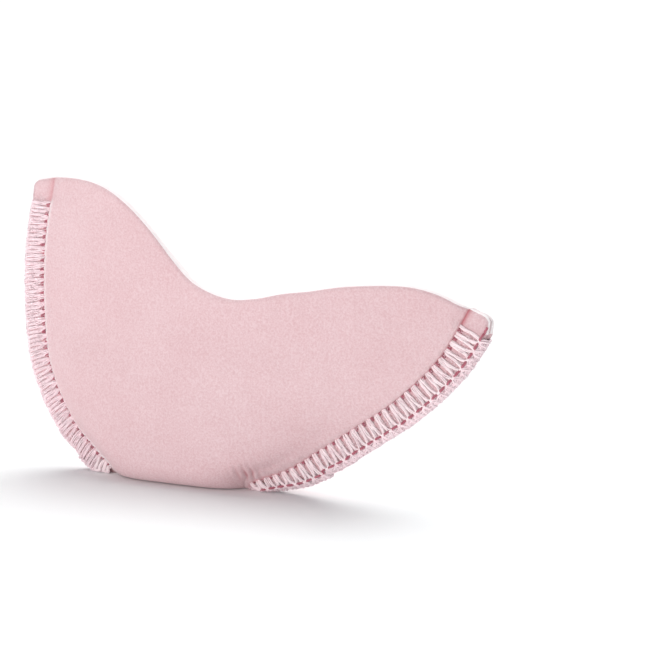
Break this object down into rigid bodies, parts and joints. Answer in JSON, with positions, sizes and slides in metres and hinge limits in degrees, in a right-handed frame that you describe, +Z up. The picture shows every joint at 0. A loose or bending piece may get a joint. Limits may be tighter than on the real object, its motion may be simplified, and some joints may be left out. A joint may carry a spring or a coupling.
{
  "type": "ballet toe pad",
  "caption": "Soft padded pouch for the toes inside a pointe shoe, folded at the toe, overlocked down both sides, with a curved open mouth.",
  "frame": {"origin": "on the floor under the middle of the pad's bounding box", "axes": "+Z up from the folded toe to the open mouth, +X along the flat of the pad towards its low wing, +Y from the front panel to the back panel"},
  "size_m": [0.1148, 0.0194, 0.0645],
  "materials": {
    "laminate": "soft brushed pink knit over thin foam",
    "thread": "pale pink fluffy overlock thread"
  },
  "bodies": {
    "root": {"pouch": "laminate", "left_overlock": "thread", "right_overlock": "thread"}
  },
  "joints": []
}
